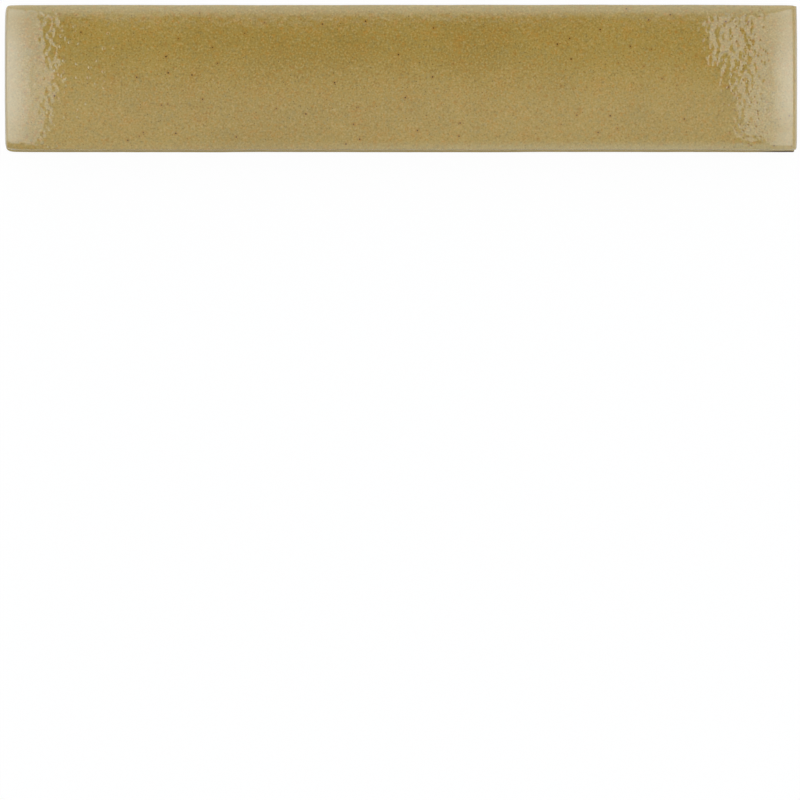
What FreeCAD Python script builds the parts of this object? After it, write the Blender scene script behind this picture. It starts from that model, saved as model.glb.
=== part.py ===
"""Pencil liner tile: a narrow glazed trim tile, fired as one piece.

The clay body is a straight bar with lengthwise keying grooves in its back. Glaze covers the
crowned face and runs down the sides, and stops in a small bead above the bare foot of the body.
The face is low and convex across its width, and it falls away gently towards both ends.
X runs along the tile, Y across its face and Z up from the back. The origin is at the middle of
the back. All sizes are in millimetres.
"""

import math
import os

import FreeCAD
import Part
from FreeCAD import Vector

# The fired and glazed piece
length = 152.0
face_width = 28.3
thickness = 11.0  # from the back to the top of the crown

# The glazed face
crown_radius = 62.0  # arc across the width
left_fall_length = 18.0  # the stretch at each end where the face bends down
left_fall_radius = 105.0
right_fall_length = 22.0
right_fall_radius = 145.0

# Edges where the glaze rolls over from the face to the sides
upper_roll_radius = 2.4  # long edge at +Y
lower_roll_radius = 1.7  # long edge at -Y
end_roll_radius = 1.6

# Corners of the face, seen from above: handmade, so no two are alike
upper_left_corner_radius = 1.2
lower_left_corner_radius = 1.3
upper_right_corner_radius = 0.4
lower_right_corner_radius = 0.7

# Lower edge of the glaze on the sides
glaze_line = 2.6  # height above the back where the glaze stops
glaze_thickness = 0.35  # how far the glaze stands out from the bare body
bead_radius = 0.2

# Bare foot of the clay body
foot_corner_radius = 0.9
foot_arris_radius = 0.3  # softened edge round the back

# Keying grooves in the back, open at both ends
groove_count = 4
groove_pitch = 5.6
groove_mouth = 2.8
groove_floor = 2.0
groove_depth = 1.0

# How far a cutting shape runs past the piece it cuts
overrun = 2.0


def crown_section(x):
    """Face under the crown arc, standing across the tile at x."""
    half = face_width / 2 + overrun
    edge_height = thickness - crown_radius + math.sqrt(crown_radius**2 - half**2)
    near = Vector(x, -half, edge_height)
    top = Vector(x, 0, thickness)
    far = Vector(x, half, edge_height)
    far_foot = Vector(x, half, -overrun)
    near_foot = Vector(x, -half, -overrun)
    outline = [
        Part.Arc(near, top, far).toShape(),
        Part.makeLine(far, far_foot),
        Part.makeLine(far_foot, near_foot),
        Part.makeLine(near_foot, near),
    ]
    return Part.Face(Part.Wire(outline))


def falling_end(seam, fall_length, fall_radius, side):
    """The crown carried on round a level axis across the tile, from the seam to past the end."""
    hub = Vector(seam, 0, thickness - fall_radius)
    angle = math.degrees(math.asin(fall_length / fall_radius) + overrun / fall_radius)
    return crown_section(seam).revolve(hub, Vector(0, 1, 0), side * angle)


def crowned_block():
    """Sharp-edged block from the glaze line up to the crowned and falling face."""
    left_seam = -length / 2 + left_fall_length
    right_seam = length / 2 - right_fall_length
    middle = crown_section(left_seam).extrude(Vector(right_seam - left_seam, 0, 0))
    left_end = falling_end(left_seam, left_fall_length, left_fall_radius, -1)
    right_end = falling_end(right_seam, right_fall_length, right_fall_radius, 1)
    below_the_face = middle.fuse([left_end, right_end])
    corner = Vector(-length / 2, -face_width / 2, glaze_line)
    block = Part.makeBox(length, face_width, thickness + overrun - glaze_line, corner)
    return block.common(below_the_face).removeSplitter().Solids[0]


def is_upright(edge):
    """True for an edge that runs straight up."""
    start, end = edge.Vertexes[0].Point, edge.Vertexes[-1].Point
    return math.hypot(start.x - end.x, start.y - end.y) < Part.Precision.confusion()


def glazed_edge_radius(edge):
    """Rounding of one edge of the crowned block, or None for the seams within the face."""
    touch = Part.Precision.confusion()
    middle = edge.CenterOfMass
    if is_upright(edge):
        corners = {
            (False, True): upper_left_corner_radius,
            (False, False): lower_left_corner_radius,
            (True, True): upper_right_corner_radius,
            (True, False): lower_right_corner_radius,
        }
        return corners[(middle.x > 0, middle.y > 0)]
    if abs(middle.z - glaze_line) < touch:
        return bead_radius
    if abs(middle.y - face_width / 2) < touch:
        return upper_roll_radius
    if abs(middle.y + face_width / 2) < touch:
        return lower_roll_radius
    if abs(abs(middle.x) - length / 2) < touch:
        return end_roll_radius
    return None


def glazed_cap():
    """The glazed upper part, with all its edges and corners rounded in one go."""
    document = FreeCAD.newDocument("liner")
    block = document.addObject("Part::Feature", "block")
    block.Shape = crowned_block()
    rounded = document.addObject("Part::Fillet", "rounded")
    rounded.Base = block
    radii = [(i, glazed_edge_radius(edge)) for i, edge in enumerate(block.Shape.Edges, 1)]
    rounded.Edges = [(i, radius, radius) for i, radius in radii if radius is not None]
    document.recompute()
    return rounded.Shape.copy()


def bare_foot():
    """The unglazed lower part of the body, a glaze thickness inside the glazed sides."""
    foot_length = length - 2 * glaze_thickness
    foot_width = face_width - 2 * glaze_thickness
    corner = Vector(-foot_length / 2, -foot_width / 2, 0)
    foot = Part.makeBox(foot_length, foot_width, glaze_line, corner)
    foot = foot.makeFillet(foot_corner_radius, [edge for edge in foot.Edges if is_upright(edge)])
    back = [edge for edge in foot.Edges if edge.BoundBox.ZMax < glaze_line / 2]
    return foot.makeFillet(foot_arris_radius, back)


def keying_groove(y):
    """Cutting bar for one groove of the back, with slanting sides, centred on y."""
    x = -length / 2 - overrun
    slant = (groove_mouth - groove_floor) / 2 / groove_depth
    low_half = groove_mouth / 2 + slant * overrun
    outline = Part.makePolygon(
        [
            Vector(x, y - low_half, -overrun),
            Vector(x, y - groove_floor / 2, groove_depth),
            Vector(x, y + groove_floor / 2, groove_depth),
            Vector(x, y + low_half, -overrun),
            Vector(x, y - low_half, -overrun),
        ]
    )
    return Part.Face(outline).extrude(Vector(length + 2 * overrun, 0, 0))


def liner_tile():
    """The whole tile as one solid."""
    tile = glazed_cap().fuse(bare_foot()).removeSplitter()
    first = -(groove_count - 1) / 2 * groove_pitch
    for i in range(groove_count):
        tile = tile.cut(keying_groove(first + i * groove_pitch))
    return tile.Solids[0]


os.makedirs("parts", exist_ok=True)
tile = liner_tile()
tile.exportStep("parts/liner_tile.step")
print(f"liner_tile: valid {tile.isValid()}, {tile.Volume / 1000:.1f} cm3, {len(tile.Faces)} faces")
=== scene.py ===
import math

import bmesh
import bpy
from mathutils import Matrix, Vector


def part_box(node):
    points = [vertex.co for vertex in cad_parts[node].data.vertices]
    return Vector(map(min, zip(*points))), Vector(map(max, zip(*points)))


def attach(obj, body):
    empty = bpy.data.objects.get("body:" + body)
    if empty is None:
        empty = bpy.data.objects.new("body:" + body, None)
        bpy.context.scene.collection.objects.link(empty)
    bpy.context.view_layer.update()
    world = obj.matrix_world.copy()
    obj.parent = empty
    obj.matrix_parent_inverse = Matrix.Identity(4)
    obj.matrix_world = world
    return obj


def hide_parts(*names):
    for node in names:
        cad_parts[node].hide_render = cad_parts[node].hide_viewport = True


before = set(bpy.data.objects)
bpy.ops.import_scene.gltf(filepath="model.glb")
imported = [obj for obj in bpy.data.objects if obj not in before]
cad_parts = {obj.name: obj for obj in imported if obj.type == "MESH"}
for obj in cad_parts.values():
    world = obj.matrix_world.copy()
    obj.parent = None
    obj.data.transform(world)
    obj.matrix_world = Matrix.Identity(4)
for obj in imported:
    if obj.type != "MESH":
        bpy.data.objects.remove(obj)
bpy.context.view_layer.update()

mm = 0.001
touch = 0.01 * mm  # places closer than this are one place
tileLow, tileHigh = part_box("liner_tile")
tileMiddle = (tileLow + tileHigh) / 2
tileSize = tileHigh - tileLow
print("frame loaded, tile is", [round(side / mm, 2) for side in tileSize], "mm")


# nothing stays selected from the step before
def clearSelection():
    if bpy.context.object and bpy.context.object.mode == "EDIT":
        bpy.ops.object.mode_set(mode="OBJECT")
    bpy.ops.object.select_all(action="DESELECT")


def makeActive(piece):
    clearSelection()
    piece.select_set(True)
    bpy.context.view_layer.objects.active = piece


def startEditing(piece):
    makeActive(piece)
    bpy.ops.object.mode_set(mode="EDIT")
    bpy.ops.mesh.select_mode(type="VERT")
    bpy.ops.mesh.select_all(action="DESELECT")


def stopEditing():
    bpy.ops.object.mode_set(mode="OBJECT")


# selects the vertices that pass the test, and the edges and faces between them
def pickVerts(piece, test):
    bpy.ops.mesh.select_mode(type="VERT")
    bpy.ops.mesh.select_all(action="DESELECT")
    mesh = bmesh.from_edit_mesh(piece.data)
    for vert in mesh.verts:
        vert.select = test(vert.co)
    mesh.select_flush(True)
    bmesh.update_edit_mesh(piece.data)


def pickFaces(piece, test):
    bpy.ops.mesh.select_mode(type="FACE")
    bpy.ops.mesh.select_all(action="DESELECT")
    mesh = bmesh.from_edit_mesh(piece.data)
    for face in mesh.faces:
        face.select = test(face)
    mesh.select_flush(True)
    bmesh.update_edit_mesh(piece.data)


# creases the edges whose two ends pass the test
def creaseEdges(piece, crease, test):
    bpy.ops.mesh.select_mode(type="EDGE")
    bpy.ops.mesh.select_all(action="DESELECT")
    mesh = bmesh.from_edit_mesh(piece.data)
    for edge in mesh.edges:
        edge.select = test(*(vert.co for vert in edge.verts))
    bmesh.update_edit_mesh(piece.data)
    bpy.ops.transform.edge_crease(value=crease)


# a box between two corners, its place and size in its mesh
def addBlock(name, low, high):
    clearSelection()
    bpy.ops.mesh.primitive_cube_add(size=1, location=(low + high) / 2)
    block = bpy.context.object
    block.name = name
    block.data.name = name
    block.scale = high - low
    bpy.ops.object.transform_apply(location=True, rotation=True, scale=True)
    return block


# cuts the whole mesh across one axis at each of the places
def cutAcross(axis, places):
    for place in places:
        point, direction = Vector((0, 0, 0)), Vector((0, 0, 0))
        point[axis] = place
        direction[axis] = 1
        bpy.ops.mesh.select_all(action="SELECT")
        bpy.ops.mesh.bisect(plane_co=point, plane_no=direction)


def applyModifier(piece, name):
    makeActive(piece)
    bpy.ops.object.modifier_apply(modifier=name)


# all in millimetres
linerTile = {
    "crownRadius": 62,  # arc across the face
    "leftFall": (17.5, 105),  # reach from the end and radius, where the face bends down
    "rightFall": (23.2, 148),
    "leftLoops": (0.35, 1.1, 4.2, 9, 13.5, 18),  # support loops, from that end inwards
    "rightLoops": (0.45, 0.85, 2.6, 5.5, 10.5, 16, 22.5),
    "leftEase": (0.28, 0.12, 0.04),  # how much lower the end and its first loops lie than the arc
    "rightEase": (1.0, 0.3, 0.15, 0.02),
    "middleLoops": 13,
    "lowerLoops": (1.1, 3.4, 7.5),  # from the lower long edge inwards
    "upperLoops": (2.0, 6.3),
    "centreLoops": (-2.0, 3.0),
    "cornerReach": 5,  # so near the ends, the first loops lie closer to the long edges
    "cornerLoops": (1.0, 1.0),  # by the lower edge and by the upper one
    "pickReach": 0.15,  # finds a corner point together with the rim tucked in below it
    "rollDepth": 1.5,  # the walls start this far below the edge of the face
    "undercut": 0.1,  # and this much further in
    "wallInset": (0.08, 0.22),  # at the ends and at the sides, inside the bead below
    "rightCornerCrease": 0.7,  # the right corners came out sharper
    "rightCornerReach": 0.3,
    "lowerEdgeCrease": 0.4,  # and so did the lower long edge
    "lowerEdgeStop": 0.7,  # up to here from its ends
    "smoothing": 4,
    "smoothAngle": 40,  # degrees, edges sharper than this stay sharp
}


# how far an arc has dropped at some distance from its top
def arcDrop(radius, distance):
    return radius - math.sqrt(radius**2 - distance**2)


def crownDrop(y):
    return arcDrop(linerTile["crownRadius"] * mm, abs(y))


# where the loops of one end lie and how far each is let down, from the end inwards
def endLoops(side, loops, fall, ease):
    reach, radius = (value * mm for value in fall)
    places = [linerTile["wallInset"][0] * mm] + [loop * mm for loop in loops]
    drops = [arcDrop(radius, max(reach - place, 0)) for place in places]
    for i, extra in enumerate(ease):
        drops[i] += extra * mm
    return [(side * (tileHigh.x - place), drop) for place, drop in zip(places, drops)]


# the level loops of the straight stretch, evenly between those of the two ends
def middleLoops(left, right):
    count = linerTile["middleLoops"]
    start, stop = left[-1][0], right[-1][0]
    gap = (stop - start) / (count + 1)
    return [(start + gap * (i + 1), 0) for i in range(count)]


# the loops along the tile and its two sides, let down to the crown
def longLoops(sides):
    look = linerTile
    rows = [tileLow.y + reach * mm for reach in look["lowerLoops"]]
    rows += [place * mm for place in look["centreLoops"]]
    rows += [tileHigh.y - reach * mm for reach in look["upperLoops"]]
    return [(y, crownDrop(y)) for y in [*sides, *rows]]


# lets each loop across the axis down by its own drop
def letDown(tile, axis, loops):
    for place, drop in loops:
        pickVerts(tile, lambda vert: abs(vert[axis] - place) < touch)
        bpy.ops.transform.translate(value=(0, 0, -drop))


# takes the underside away and tucks the open rim in
def openBelow(tile):
    pickFaces(tile, lambda face: face.normal.z < -0.5)
    bpy.ops.mesh.delete(type="FACE")
    bpy.ops.mesh.select_mode(type="VERT")
    bpy.ops.mesh.select_non_manifold()
    sizes = [1 - 2 * linerTile["undercut"] * mm / side for side in tileSize.xy]
    bpy.ops.transform.resize(value=(*sizes, 1), center_override=tileMiddle)


# the rolls tighten towards the four corners
def tightenRolls(tile):
    look = linerTile
    inner = tileHigh.x - look["cornerReach"] * mm
    first = (look["lowerLoops"][0], look["upperLoops"][0])
    for side, loop, reach in zip((-1, 1), first, look["cornerLoops"]):
        loop, reach = (side * (tileHigh.y - value * mm) for value in (loop, reach))
        pickVerts(tile, lambda vert: abs(vert.x) > inner and abs(vert.y - loop) < touch)
        drop = crownDrop(reach) - crownDrop(loop)
        bpy.ops.transform.translate(value=(0, reach - loop, -drop))


# no two corners came out alike: how far in some points of the loops were pressed,
# each told by its place among the loops from the end and among those from the long edge
handmadeCorners = {
    (-1, 1): ((0, 0, 0.24, 0.95), (1, 0, 0.12, 0.14), (2, 0, 0.05, 0.02), (0, 1, 0, 0.9)),
    (-1, -1): ((0, 0, 0.24, 0.44), (1, 0, 0.4, 0.18), (2, 0, 0.35, 0.02), (0, 1, 0.01, 0.4)),
    (1, 1): ((0, 0, 0, 0.12), (1, 0, 0, 0.1), (2, 0, 0, 0.06)),
    (1, -1): ((0, 0, 0.14, 0.14),),
}


def pressCorners(tile, left, right, wallY):
    near = linerTile["pickReach"] * mm
    for (side, edge), presses in handmadeCorners.items():
        columns = [x for x, drop in (left if side < 0 else right)]
        first = linerTile["cornerLoops"][0 if edge < 0 else 1] * mm
        rows = [edge * wallY, edge * (tileHigh.y - first)]
        for column, row, alongX, alongY in presses:
            x, y = columns[column], rows[row]
            pickVerts(tile, lambda vert: abs(vert.x - x) < near and abs(vert.y - y) < near)
            bpy.ops.transform.translate(value=(-side * alongX * mm, -edge * alongY * mm, 0))


# the right corners and the lower long edge keep more of their edge
def keepEdges(tile, low, high):
    look = linerTile
    reach = look["rightCornerReach"] * mm
    stop = high.x - look["lowerEdgeStop"] * mm
    bottom = low.y + look["undercut"] / 2 * mm  # leaves the tucked rim out

    def isUpright(a, b):
        return abs(a.z - b.z) > mm

    def atRightCorner(a, b):
        return min(a.x, b.x) > high.x - reach and abs(a.y) > high.y - reach and isUpright(a, b)

    def alongBottom(a, b):
        return max(a.y, b.y) < bottom and max(abs(a.x), abs(b.x)) < stop and not isUpright(a, b)

    creaseEdges(tile, look["rightCornerCrease"], atRightCorner)
    creaseEdges(tile, look["lowerEdgeCrease"], alongBottom)


def makeTile():
    look = linerTile
    inset = Vector((*look["wallInset"], 0)) * mm
    low = Vector((tileLow.x, tileLow.y, tileHigh.z - look["rollDepth"] * mm)) + inset
    high = tileHigh - inset
    tile = addBlock("glazed_tile", low, high)

    # support loops, closest where the face rolls over
    left = endLoops(-1, look["leftLoops"], look["leftFall"], look["leftEase"])
    right = endLoops(1, look["rightLoops"], look["rightFall"], look["rightEase"])
    columns = left + middleLoops(left, right) + right
    rows = longLoops((low.y, high.y))
    startEditing(tile)
    cutAcross(0, [x for x, drop in columns if low.x < x < high.x])
    cutAcross(1, [y for y, drop in rows if low.y < y < high.y])
    letDown(tile, 0, columns)
    letDown(tile, 1, rows)
    openBelow(tile)
    tightenRolls(tile)
    pressCorners(tile, left, right, high.y)
    keepEdges(tile, low, high)
    stopEditing()

    smooth = tile.modifiers.new("roundOver", "SUBSURF")
    smooth.levels = smooth.render_levels = look["smoothing"]
    applyModifier(tile, smooth.name)
    print("tile rounded over,", len(tile.data.polygons), "faces")
    return tile


# parts of the face that sank or stayed up: from there outwards, how far, fading over how much
kilnSag = {
    "upperRight": (66, 8.5, -0.41, 13),
    "upperRightEdge": (74, 13.2, 0.03, 4.5),
    "lowerLeftEdge": (-70, -13.2, 0.05, 3),
    "lowerRightEdge": (71, -13.2, 0.1, 3),
}

# shallow waves left by the fingers: where, how far up or down, and how wide
fingerWaves = {
    "leftEnd": (-76, -1.8, -0.13, 13),
    "lowerLeft": (-71.9, -9.5, 0.07, 8),
    "lowerRight": (62.5, -7, 0.05, 9),
}
fingertip = 0.4  # millimetres, what is moved in full


# moves what passes the test up or down, and draws the glaze round it along
def moveSoftly(tile, test, move, reach):
    startEditing(tile)
    pickVerts(tile, test)
    bpy.ops.transform.translate(value=(0, 0, move * mm), use_proportional_edit=True,
                                proportional_edit_falloff="SMOOTH", proportional_size=reach * mm)
    stopEditing()


def unevenFace(tile):
    for fromX, fromY, move, reach in kilnSag.values():
        moveSoftly(tile, lambda vert: vert.x / fromX > mm and vert.y / fromY > mm, move, reach)
    for atX, atY, move, reach in fingerWaves.values():
        spot = Vector((atX, atY)) * mm
        moveSoftly(tile, lambda vert: (vert.xy - spot).length < fingertip * mm, move, reach)
    print("face made uneven")


# length and width of each wave in the glaze, and how far it moves the surface
glazeRipple = {
    "swell": (12, 9, 0.1),
    "ripple": (2.6, 3.6, 0.02),
}


# the fired glaze is never flat
def rippleGlaze(tile):
    stretch = bpy.data.objects.new("stretch", None)
    bpy.context.scene.collection.objects.link(stretch)
    for name, (long, wide, height) in glazeRipple.items():
        ripple = bpy.data.textures.new(name, "CLOUDS")
        ripple.noise_scale = 1
        ripple.noise_depth = 0
        stretch.scale = Vector((long, wide, wide)) * mm
        bpy.context.view_layer.update()
        push = tile.modifiers.new(name, "DISPLACE")
        push.texture = ripple
        push.texture_coords = "OBJECT"
        push.texture_coords_object = stretch
        push.strength = height * mm
        applyModifier(tile, push.name)
    bpy.data.objects.remove(stretch)
    print("glaze rippled")


# how far in each ring lies at the ends and at the sides, and how high above the back
lowerRings = {
    "wall": ((0.22, 0.39, 4.0), (0.21, 0.37, 3.65)),
    "bead": ((0.16, 0.28, 3.36), (0.09, 0.16, 3.27), (0.03, 0.03, 3.17), (0.0, 0.0, 3.0),
             (0.03, 0.03, 2.68), (0.15, 0.15, 2.57)),
    "foot": ((0.37, 0.37, 2.56), (0.37, 0.37, 1.4), (0.36, 0.36, 0.3), (0.45, 0.45, 0.09),
             (0.66, 0.66, 0.0)),
}


# carries the open rim on, ring by ring, and closes the back
def addFoot(tile):
    startEditing(tile)
    bpy.ops.mesh.select_mode(type="EDGE")
    bpy.ops.mesh.select_non_manifold()
    last = [inset + linerTile["undercut"] for inset in linerTile["wallInset"]]
    for endIn, sideIn, ringUp in sum(lowerRings.values(), ()):
        bpy.ops.mesh.extrude_region_move()
        sizes = [(side - 2 * ringIn * mm) / (side - 2 * lastIn * mm)
                 for side, ringIn, lastIn in zip(tileSize, (endIn, sideIn), last)]
        level = Vector((tileMiddle.x, tileMiddle.y, ringUp * mm))
        bpy.ops.transform.resize(value=(*sizes, 0), center_override=level)
        last = [endIn, sideIn]
    bpy.ops.mesh.edge_face_add()
    bpy.ops.mesh.select_all(action="SELECT")
    bpy.ops.mesh.normals_make_consistent(inside=False)
    stopEditing()
    print("foot added,", len(tile.data.polygons), "faces")


# in millimetres, the overrun is how far the bar runs past the tile at each end
keyingGrooves = {"count": 4, "pitch": 5.6, "mouth": 2.8, "floor": 2.0, "depth": 1.0, "overrun": 3}


# one bar shaped and repeated, then taken out of the back
def cutGrooves(tile):
    pitch, mouth, floor, depth, overrun = (
        keyingGrooves[name] * mm for name in ("pitch", "mouth", "floor", "depth", "overrun"))
    first = -(keyingGrooves["count"] - 1) / 2 * pitch
    low = Vector((tileLow.x - overrun, first - mouth / 2, tileLow.z - depth))
    high = Vector((tileHigh.x + overrun, first + mouth / 2, tileLow.z + depth))
    bar = addBlock("groove_bar", low, high)
    startEditing(bar)
    for end, share in ((depth, floor / mouth), (-depth, 2 - floor / mouth)):
        pickVerts(bar, lambda place: place.z * end > 0)
        bpy.ops.transform.resize(value=(1, share, 1), center_override=(0, first, end))
    bpy.ops.mesh.select_all(action="SELECT")
    for _ in range(keyingGrooves["count"] - 1):
        bpy.ops.mesh.duplicate_move(TRANSFORM_OT_translate={"value": (0, pitch, 0)})
    stopEditing()
    cut = tile.modifiers.new("keyingGrooves", "BOOLEAN")
    cut.operation = "DIFFERENCE"
    cut.solver = "EXACT"
    cut.object = bar
    applyModifier(tile, cut.name)
    bpy.data.objects.remove(bar)
    print("grooves cut,", len(tile.data.polygons), "faces")


# a colour with 0 to 255 a channel
def paint(red, green, blue):
    channels = []
    for channel in (red, green, blue):
        share = channel / 255
        channels.append(share / 12.92 if share < 0.04045 else ((share + 0.055) / 1.055) ** 2.4)
    return (*channels, 1)


def addNode(tree, kind, inputs={}, **settings):
    made = tree.nodes.new(kind)
    for name, value in settings.items():
        setattr(made, name, value)
    for socket, value in inputs.items():
        if isinstance(value, bpy.types.NodeSocket):
            tree.links.new(value, made.inputs[socket])
        else:
            made.inputs[socket].default_value = value
    return made


def newMaterial(name):
    material = bpy.data.materials.new(name)
    material.use_nodes = True
    material.node_tree.nodes.clear()
    return material, material.node_tree


def calculate(tree, operation, *values):
    inputs = dict(enumerate(values))
    return addNode(tree, "ShaderNodeMath", inputs, operation=operation).outputs[0]


def blendColours(tree, share, first, second):
    inputs = {0: share, 6: first, 7: second}
    return addNode(tree, "ShaderNodeMix", inputs, data_type="RGBA").outputs[2]


def remap(tree, value, low, high, outLow=0, outHigh=1):
    inputs = {"Value": value, "From Min": low, "From Max": high,
              "To Min": outLow, "To Max": outHigh}
    return addNode(tree, "ShaderNodeMapRange", inputs,
                   interpolation_type="SMOOTHSTEP").outputs["Result"]


# at its strength up to the near place and gone from the far one
def fade(tree, value, near, far, strength=1):
    return remap(tree, value, near * mm, far * mm, strength, 0)


# grows from the first place to the second and fades from the third to the fourth
def between(tree, value, places):
    grown, full, fading, gone = places
    return calculate(tree, "MULTIPLY", remap(tree, value, grown * mm, full * mm),
                     fade(tree, value, fading, gone))


def leftToRight(tree, along, atLeft, atRight):
    return remap(tree, along, tileLow.x, tileHigh.x, atLeft, atRight)


# noise with waves of the given size
def noise(tree, place, size, detail=0, roughness=0.5):
    inputs = {"Vector": place, "Scale": 1 / size, "Detail": detail, "Roughness": roughness}
    return addNode(tree, "ShaderNodeTexNoise", inputs).outputs["Fac"]


# round spots scattered through the clay, cut by the surface at all sizes up to the radius,
# solid over their core and softer outside it
def spots(tree, place, spacing, radius, core=0.4):
    cells = addNode(tree, "ShaderNodeTexVoronoi",
                    {"Vector": place, "Scale": 1 / (spacing * mm)})
    share = radius / spacing
    return remap(tree, cells.outputs["Distance"], share * core, share, 1, 0)


# sizes and places in millimetres
honeyGlaze = {
    "deep": (157, 129, 61),
    "pale": (170, 142, 72),
    "dark": (130, 102, 48),
    "light": (188, 160, 98),
    "amber": (179, 123, 46),
    "olive": (146, 131, 80),
    "speck": (72, 46, 24),
    "halo": (158, 112, 44),
    "stain": (136, 98, 38),
    "lowSides": (174, 153, 96),
    # painted shade on the bead under the lip at the lower right
    "paintedBeadShade": (62, 40, 12),
    # pale edge colours, partly thin glaze and partly painted highlight where the lights shine
    # back
    "paleEndsAndSheen": (202, 181, 140),
    "paleSidesAndSheen": (187, 180, 148),
    "brokenAndSheen": (199, 189, 171),
    "clouds": (24, 5, 0.68),  # size, detail and roughness
    "cloudLevels": (0.35, 0.65),
    "cloudStrength": 0.65,
    "paleBelow": (-5, 7, 0.42),  # paler below the first place, fading to the second
    "mottle": (3.2, 2, 0.6, 0.28, "olive", "amber"),  # as for clouds, strength and two colours
    "fleck": (0.68, 2, 0.7, 0.82, "olive", "amber"),
    "grain": (0.36, 1, 0.5, 0.66, "dark", "light"),
    "layerLevels": (0.2, 0.5, 0.8),  # all of the first colour, none of either, all of the second
    "speckSpacing": 2.8,
    "speckRadius": 0.21,
    "haloRadius": 0.6,
    "haloStrength": 0.45,
    "dustSpacing": 1.1,
    "dustRadius": 0.14,
    "dustStrength": 0.6,
    "faceHeight": (6, 8.5),  # between the sides and the face
    "endThinAndSheen": (0.3, 5.8, 0.5),  # fades from there to there inwards, and how much
    "upperThinAndSheen": (0.3, 3.4, 0.32),
    "lowerThinAndSheen": (0.2, 2.2, 0.22),
    "lowerUneven": (0.3, 1.7),  # share of that at the left end and at the right end
    "lowerLeftThick": (1.0, 2.4, 0.8),
    "endBreakAndSheen": (0.2, 0.7, 0.85),  # palest over the edges of the ends, partly broken glaze and partly painted highlight
    "breakUneven": (1, 0.45),
    "lowSidesHeight": (2.7, 6, 0.85),
    "paintedBeadShadeAlong": (66.5, 73.5, 0.04),  # grows from there to there, and its share before
    "paintedBeadShadeInwards": (0.12, 0.3),
    "paintedBeadShadeHeight": (3.3, 3.8),
    "peelLong": 0.95,
    "peelWide": 1.1,
    "peelHeight": 0.036,
    "peelShift": (23.3, 5.9, 14.7),  # in waves, which stretch of the peel lies on the tile
    "peelFade": (3.0, 7.0, 0.3),  # smoother towards the ends
    "pittingSize": 0.34,
    "pittingHeight": 0.0012,
    "pimpleSpacing": 1.5,
    "pimpleRadius": 0.42,
    "pimpleHeight": 0.036,
    "pimples": (-70, -67, -57, -51),  # grow and fade between these places along the tile
    "pinholeSpacing": 1.0,
    "pinholeRadius": 0.34,
    "pinholeDepth": 0.03,
    "pinholeStain": 0.75,
    "pinholes": (59, 63, 68, 72),
    "roughness": 0.06,
    "ior": 1.6,
}


# soft clouds where the glaze lies thicker and thinner, and finer spots over them
def cloudedHoney(tree, place, across):
    look = honeyGlaze
    size, detail, roughness = look["clouds"]
    cloud = noise(tree, place, size * mm, detail, roughness)
    cloud = remap(tree, cloud, *look["cloudLevels"], 0, look["cloudStrength"])
    belowShare = fade(tree, across, *look["paleBelow"])
    colour = blendColours(tree, calculate(tree, "ADD", cloud, belowShare), paint(*look["deep"]),
                          paint(*look["pale"]))
    lowest, middle, highest = look["layerLevels"]
    for layer in ("mottle", "fleck", "grain"):
        size, detail, roughness, strength, under, over = look[layer]
        spread = noise(tree, place, size * mm, detail, roughness)
        low = remap(tree, spread, lowest, middle, strength, 0)
        high = remap(tree, spread, middle, highest, 0, strength)
        colour = blendColours(tree, low, colour, paint(*look[under]))
        colour = blendColours(tree, high, colour, paint(*look[over]))
    return colour


# iron specks that stained the glaze round them, and finer dust
def addSpecks(tree, place, colour):
    look = honeyGlaze
    halo = spots(tree, place, look["speckSpacing"], look["haloRadius"])
    halo = calculate(tree, "MULTIPLY", halo, look["haloStrength"])
    colour = blendColours(tree, halo, colour, paint(*look["halo"]))
    speck = spots(tree, place, look["speckSpacing"], look["speckRadius"])
    dust = spots(tree, place, look["dustSpacing"], look["dustRadius"])
    dust = calculate(tree, "MULTIPLY", dust, look["dustStrength"])
    speck = calculate(tree, "MAXIMUM", speck, dust)
    return blendColours(tree, speck, colour, paint(*look["speck"]))


# pale over the edges of the face, partly thin glaze and partly painted highlight where the lights
# shine back, though thick along the lower edge at the left
def thinEdgesAndSheen(tree, parts, fromEnd, fromTop, fromBottom, colour):
    look = honeyGlaze
    onFace = remap(tree, parts["Z"], *(height * mm for height in look["faceHeight"]))
    edges = ((fromEnd, "endThinAndSheen"), (fromTop, "upperThinAndSheen"), (fromBottom, "lowerThinAndSheen"),
             (fromEnd, "endBreakAndSheen"))
    ends, top, bottom, brokenAndSheen = (
        calculate(tree, "MULTIPLY", fade(tree, inwards, *look[name]), onFace)
        for inwards, name in edges)
    bottom = calculate(tree, "MULTIPLY", bottom,
                       leftToRight(tree, parts["X"], *look["lowerUneven"]))
    brokenAndSheen = calculate(tree, "MULTIPLY", brokenAndSheen,
                       leftToRight(tree, parts["X"], *look["breakUneven"]))
    thick = calculate(tree, "MULTIPLY", fade(tree, fromBottom, *look["lowerLeftThick"]),
                      remap(tree, parts["X"], tileLow.x / 2, 0, 1, 0))
    ends = calculate(tree, "MULTIPLY", ends, calculate(tree, "SUBTRACT", 1, thick))
    sides = calculate(tree, "MAXIMUM", top, bottom)
    # painted highlight over the edges, together with the paler thin glaze there
    for paleAndSheen, name in ((sides, "paleSidesAndSheen"), (ends, "paleEndsAndSheen"), (brokenAndSheen, "brokenAndSheen")):
        colour = blendColours(tree, paleAndSheen, colour, paint(*look[name]))
    return colour


# paler low on the sides, and painted shade on the bead under the lip at the lower right
def colourSides(tree, parts, fromBottom, colour):
    look = honeyGlaze
    low = fade(tree, parts["Z"], *look["lowSidesHeight"])
    colour = blendColours(tree, low, colour, paint(*look["lowSides"]))
    # painted shade under the lip, strongest towards the right end
    start, full, least = look["paintedBeadShadeAlong"]
    paintedBeadShade = remap(tree, parts["X"], start * mm, full * mm, least, 1)
    for value, name in ((fromBottom, "paintedBeadShadeInwards"), (parts["Z"], "paintedBeadShadeHeight")):
        paintedBeadShade = calculate(tree, "MULTIPLY", paintedBeadShade, fade(tree, value, *look[name]))
    return blendColours(tree, paintedBeadShade, colour, paint(*look["paintedBeadShade"]))


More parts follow.
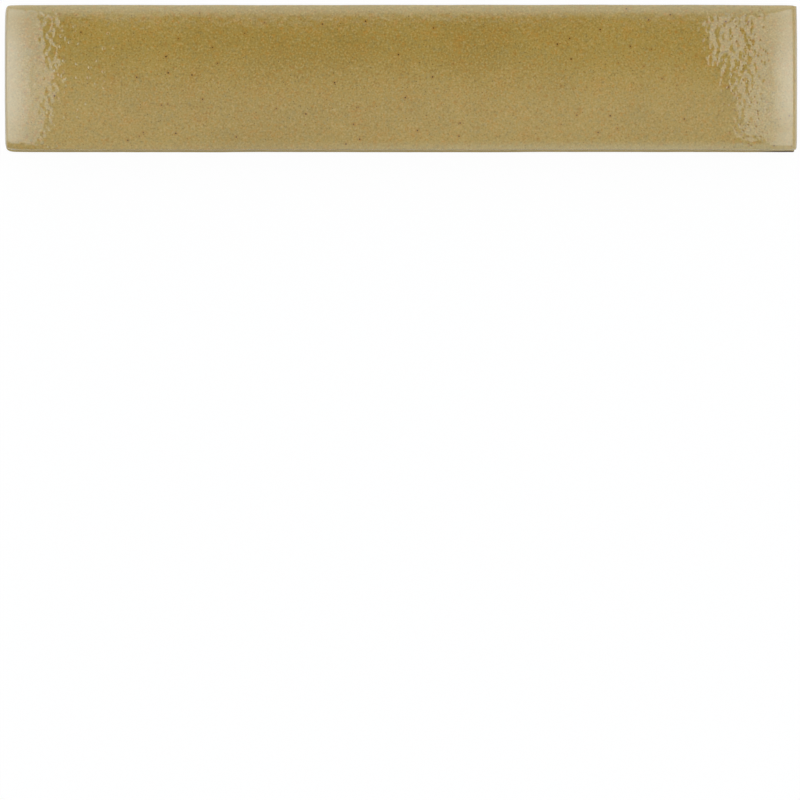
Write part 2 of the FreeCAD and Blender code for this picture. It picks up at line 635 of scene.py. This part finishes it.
# close orange peel drawn out across the tile, pitting, pimples where gas came up, and pinholes
def glazeRelief(tree, place, along, fromEnd, pinhole):
    look = honeyGlaze
    repeats = [1 / (size * mm) for size in (look["peelLong"], look["peelWide"], look["peelWide"])]
    drawn = addNode(tree, "ShaderNodeVectorMath", {0: place, 1: repeats, 2: look["peelShift"]},
                    operation="MULTIPLY_ADD")
    height = calculate(tree, "MULTIPLY", noise(tree, drawn.outputs[0], 1), look["peelHeight"])
    near, far, least = look["peelFade"]
    height = calculate(tree, "MULTIPLY", height,
                       remap(tree, fromEnd, near * mm, far * mm, least, 1))
    pitting = noise(tree, place, look["pittingSize"] * mm)
    height = calculate(tree, "MULTIPLY_ADD", pitting, look["pittingHeight"], height)
    pimple = spots(tree, place, look["pimpleSpacing"], look["pimpleRadius"])
    pimple = calculate(tree, "MULTIPLY", pimple, between(tree, along, look["pimples"]))
    height = calculate(tree, "MULTIPLY_ADD", pimple, look["pimpleHeight"], height)
    height = calculate(tree, "MULTIPLY_ADD", pinhole, -look["pinholeDepth"], height)
    relief = addNode(tree, "ShaderNodeBump", {"Height": height, "Strength": 1, "Distance": mm})
    return relief.outputs["Normal"]


def makeGlaze():
    look = honeyGlaze
    material, tree = newMaterial("honeyGlaze")
    place = addNode(tree, "ShaderNodeTexCoord").outputs["Object"]
    parts = addNode(tree, "ShaderNodeSeparateXYZ", {"Vector": place}).outputs
    fromEnd = calculate(tree, "SUBTRACT", tileHigh.x, calculate(tree, "ABSOLUTE", parts["X"]))
    fromTop = calculate(tree, "SUBTRACT", tileHigh.y, parts["Y"])
    fromBottom = calculate(tree, "ADD", tileHigh.y, parts["Y"])

    # pinholes towards the right end, stained where they caught dirt
    pinhole = spots(tree, place, look["pinholeSpacing"], look["pinholeRadius"], 0)
    pinhole = calculate(tree, "MULTIPLY", pinhole, between(tree, parts["X"], look["pinholes"]))
    stain = calculate(tree, "MULTIPLY", pinhole, look["pinholeStain"])

    colour = cloudedHoney(tree, place, parts["Y"])
    colour = addSpecks(tree, place, colour)
    colour = thinEdgesAndSheen(tree, parts, fromEnd, fromTop, fromBottom, colour)
    colour = blendColours(tree, stain, colour, paint(*look["stain"]))
    colour = colourSides(tree, parts, fromBottom, colour)
    surface = addNode(tree, "ShaderNodeBsdfPrincipled", {
        "Base Color": colour,
        "Roughness": look["roughness"],
        "IOR": look["ior"],
        "Normal": glazeRelief(tree, place, parts["X"], fromEnd, pinhole),
    })
    addNode(tree, "ShaderNodeOutputMaterial", {"Surface": surface.outputs["BSDF"]})
    return material


bareClay = {
    "body": (184, 160, 128),
    "dark": (160, 132, 100),
    "speck": (80, 56, 38),
    "grain": (0.5, 4, 0.7),  # size, detail and roughness
    "grainLevels": (0.3, 0.7),
    "grainHeight": 0.1,
    "grainStrength": 0.6,
    "speckSpacing": 2.4,
    "speckRadius": 0.2,
    "roughness": 0.9,
}


def makeClay():
    look = bareClay
    material, tree = newMaterial("bareClay")
    place = addNode(tree, "ShaderNodeTexCoord").outputs["Object"]
    size, detail, roughness = look["grain"]
    grain = noise(tree, place, size * mm, detail, roughness)
    colour = blendColours(tree, remap(tree, grain, *look["grainLevels"]), paint(*look["dark"]),
                          paint(*look["body"]))
    speck = spots(tree, place, look["speckSpacing"], look["speckRadius"])
    colour = blendColours(tree, speck, colour, paint(*look["speck"]))
    relief = addNode(tree, "ShaderNodeBump", {
        "Height": grain,
        "Strength": look["grainStrength"],
        "Distance": look["grainHeight"] * mm,
    })
    surface = addNode(tree, "ShaderNodeBsdfPrincipled", {
        "Base Color": colour,
        "Roughness": look["roughness"],
        "Normal": relief.outputs["Normal"],
    })
    addNode(tree, "ShaderNodeOutputMaterial", {"Surface": surface.outputs["BSDF"]})
    return material


def finishTile(tile):
    tile.data.materials.clear()
    tile.data.materials.append(makeGlaze())
    tile.data.materials.append(makeClay())
    startEditing(tile)
    clayTop = tileLow.z + lowerRings["foot"][0][2] * mm - touch
    pickFaces(tile, lambda face: face.calc_center_median().z < clayTop)
    tile.active_material_index = 1
    bpy.ops.object.material_slot_assign()
    stopEditing()
    bpy.ops.object.shade_smooth_by_angle(angle=math.radians(linerTile["smoothAngle"]))
    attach(tile, "root")
    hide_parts("liner_tile")
    print("tile finished")


# a white tent with a gap for the lens and a bright panel at each end of the tile, 1 is white
# "lean" is degrees from straight up, "turn" is degrees from the tile's long axis
lightTent = {
    "gap": 0.05,
    "nearWall": 0.87,
    "nearWallLean": (-11, 17),
    "nearFoot": 0.36,  # the near wall is darker at its foot
    "nearFootLean": (-62, -24),
    "farWall": 1.1,
    "farWallLean": (19.5, 27.5),
    "panelLean": (12.8, 13.2),  # where the reflection of an end panel starts
    "panelEnd": (34, 40),
    "panelSide": (22.3, 23.2),
    "panelSlant": (17.2, 0.48),  # its far edge slants, about there and by how much
    "panelEdge": 2.3,
    "panelHeart": 1.3,  # brighter by this at heart
    "panelTint": (0.89, 1, 1.09, 1),
    "heartLean": (15.5, 23),
    "heartSide": (8, 22),
    "endTurn": (52, 62),
    "nearTurn": 0.45,  # the near wall stands back from the ends by this share
    "endWall": 0.42,
    "endWallTop": 0.6,
    "endWallLean": (58, 85),
    "cameraLean": 0.045,  # the lens isn't straight over the tile, so its reflection leans
}
white = (1, 1, 1, 1)


# rises or falls softly between two angles
def turnUp(tree, angle, limits, outLow=0, outHigh=1):
    low, high = (math.radians(limit) for limit in limits)
    return remap(tree, angle, low, high, outLow, outHigh)


# the angles that the walls and panels of the tent go by
def tentAngles(tree):
    look = lightTent
    way = addNode(tree, "ShaderNodeTexCoord").outputs["Generated"]
    x, y, z = addNode(tree, "ShaderNodeSeparateXYZ", {"Vector": way}).outputs
    outwards = calculate(tree, "ABSOLUTE", x)
    rise = calculate(tree, "MULTIPLY_ADD", z, -look["cameraLean"], y)
    stood = calculate(tree, "MAXIMUM", rise, calculate(tree, "MULTIPLY", rise, -look["nearTurn"]))
    return {
        "lean": calculate(tree, "ARCCOSINE", z),
        "endLean": calculate(tree, "ARCTAN2", outwards, z),
        "sideLean": calculate(tree, "ARCTAN2", y, z),
        "turn": calculate(tree, "ARCTAN2", stood, outwards),
        "aside": calculate(tree, "ARCTAN2", calculate(tree, "ABSOLUTE", rise), z),
        "onFarSide": calculate(tree, "GREATER_THAN", rise, 0),
    }


# walls along the tile's sides and walls beyond its ends
def tentWalls(tree, angles):
    look = lightTent
    sideLean = angles["sideLean"]
    near = turnUp(tree, sideLean, look["nearWallLean"], look["nearWall"], look["gap"])
    foot = turnUp(tree, sideLean, look["nearFootLean"], look["nearFoot"], look["nearWall"])
    near = calculate(tree, "MINIMUM", near, foot)
    far = turnUp(tree, sideLean, look["farWallLean"], look["gap"], look["farWall"])
    long = calculate(tree, "MAXIMUM", near, far)
    end = turnUp(tree, angles["lean"], look["endWallLean"], 0, look["endWallTop"])
    end = calculate(tree, "ADD", end, look["endWall"])
    onEnd = calculate(tree, "MULTIPLY", turnUp(tree, angles["turn"], look["endTurn"], 1, 0),
                      turnUp(tree, angles["endLean"], look["panelLean"]))
    return addNode(tree, "ShaderNodeMix", {0: onEnd, 2: long, 3: end}).outputs[0]


# brightest at heart, with a far edge that slants
def endPanels(tree, angles):
    look = lightTent
    endLean, aside = angles["endLean"], angles["aside"]
    panel = calculate(tree, "MULTIPLY", turnUp(tree, endLean, look["heartLean"]),
                      turnUp(tree, aside, look["heartSide"], look["panelHeart"], 0))
    panel = calculate(tree, "ADD", panel, look["panelEdge"])
    about, share = look["panelSlant"]
    slant = calculate(tree, "SUBTRACT", endLean, math.radians(about))
    slant = calculate(tree, "MULTIPLY", slant, angles["onFarSide"])
    slanted = calculate(tree, "MULTIPLY_ADD", slant, -share, aside)
    for angle, limits, outLow, outHigh in ((endLean, "panelLean", 0, 1),
                                           (endLean, "panelEnd", 1, 0),
                                           (slanted, "panelSide", 1, 0)):
        panel = calculate(tree, "MULTIPLY", panel,
                          turnUp(tree, angle, look[limits], outLow, outHigh))
    return panel


def lightTile():
    world = bpy.data.worlds.new("lightTent")
    world.use_nodes = True
    tree = world.node_tree
    tree.nodes.clear()
    angles = tentAngles(tree)
    walls = tentWalls(tree, angles)
    panel = endPanels(tree, angles)
    light = calculate(tree, "MAXIMUM", walls, panel)
    tint = blendColours(tree, calculate(tree, "GREATER_THAN", panel, walls), white,
                        lightTent["panelTint"])

    # the camera itself sees plain white
    seen = addNode(tree, "ShaderNodeLightPath").outputs["Is Camera Ray"]
    strength = addNode(tree, "ShaderNodeMix", {0: seen, 2: light, 3: 1.0}).outputs[0]
    tint = blendColours(tree, seen, tint, white)
    glow = addNode(tree, "ShaderNodeBackground", {"Color": tint, "Strength": strength})
    addNode(tree, "ShaderNodeOutputWorld", {"Surface": glow.outputs["Background"]})
    bpy.context.scene.world = world
    print("tent lit")


paleTable = {
    "side": 6000,  # millimetres
    "below": 0.02,  # under the back of the tile
    "colour": (0.94, 0.94, 0.94, 1),
    "whiteSeen": 0.955,  # share of plain white that the camera sees
    "whiteShone": 0.15,  # and that reflections see
}


def layFloor():
    look = paleTable
    clearSelection()
    bpy.ops.mesh.primitive_plane_add(size=look["side"] * mm,
                                     location=(0, 0, tileLow.z - look["below"] * mm))
    floor = bpy.context.object
    floor.name = "floor"
    material, tree = newMaterial("paleTable")
    ray = addNode(tree, "ShaderNodeLightPath").outputs
    shiny = calculate(tree, "MAXIMUM", ray["Is Glossy Ray"], ray["Is Transmission Ray"])
    shone = calculate(tree, "MULTIPLY", shiny, look["whiteShone"])
    seen = calculate(tree, "MULTIPLY", ray["Is Camera Ray"], look["whiteSeen"])
    matt = addNode(tree, "ShaderNodeBsdfDiffuse", {"Color": look["colour"]})
    glow = addNode(tree, "ShaderNodeEmission", {"Strength": 1})
    both = addNode(tree, "ShaderNodeMixShader", {0: calculate(tree, "MAXIMUM", seen, shone)})
    tree.links.new(matt.outputs[0], both.inputs[1])
    tree.links.new(glow.outputs[0], both.inputs[2])
    addNode(tree, "ShaderNodeOutputMaterial", {"Surface": both.outputs[0]})
    floor.data.materials.append(material)
    print("floor laid")


# straight down over the middle of the picture, with the tile along its top
photoView = {
    "distance": 1300,  # millimetres above the table
    "pictureWidth": 154.15,  # millimetres of the table
    "tilePlace": (0.21, 61.8),  # middle of the tile from the middle of the picture
}


def placeCamera():
    look = photoView
    camera = bpy.data.objects.new("camera", bpy.data.cameras.new("camera"))
    camera.data.lens = camera.data.sensor_width * look["distance"] / look["pictureWidth"]
    right, up = look["tilePlace"]
    camera.location = Vector((-right, -up, look["distance"])) * mm
    bpy.context.scene.collection.objects.link(camera)
    bpy.context.scene.camera = camera
    print("camera placed")


placeCamera()
tile = makeTile()
unevenFace(tile)
rippleGlaze(tile)
addFoot(tile)
cutGrooves(tile)
finishTile(tile)
layFloor()
lightTile()
bpy.context.scene.view_settings.view_transform = "Standard"

bpy.context.view_layer.update()
print("scene ready")
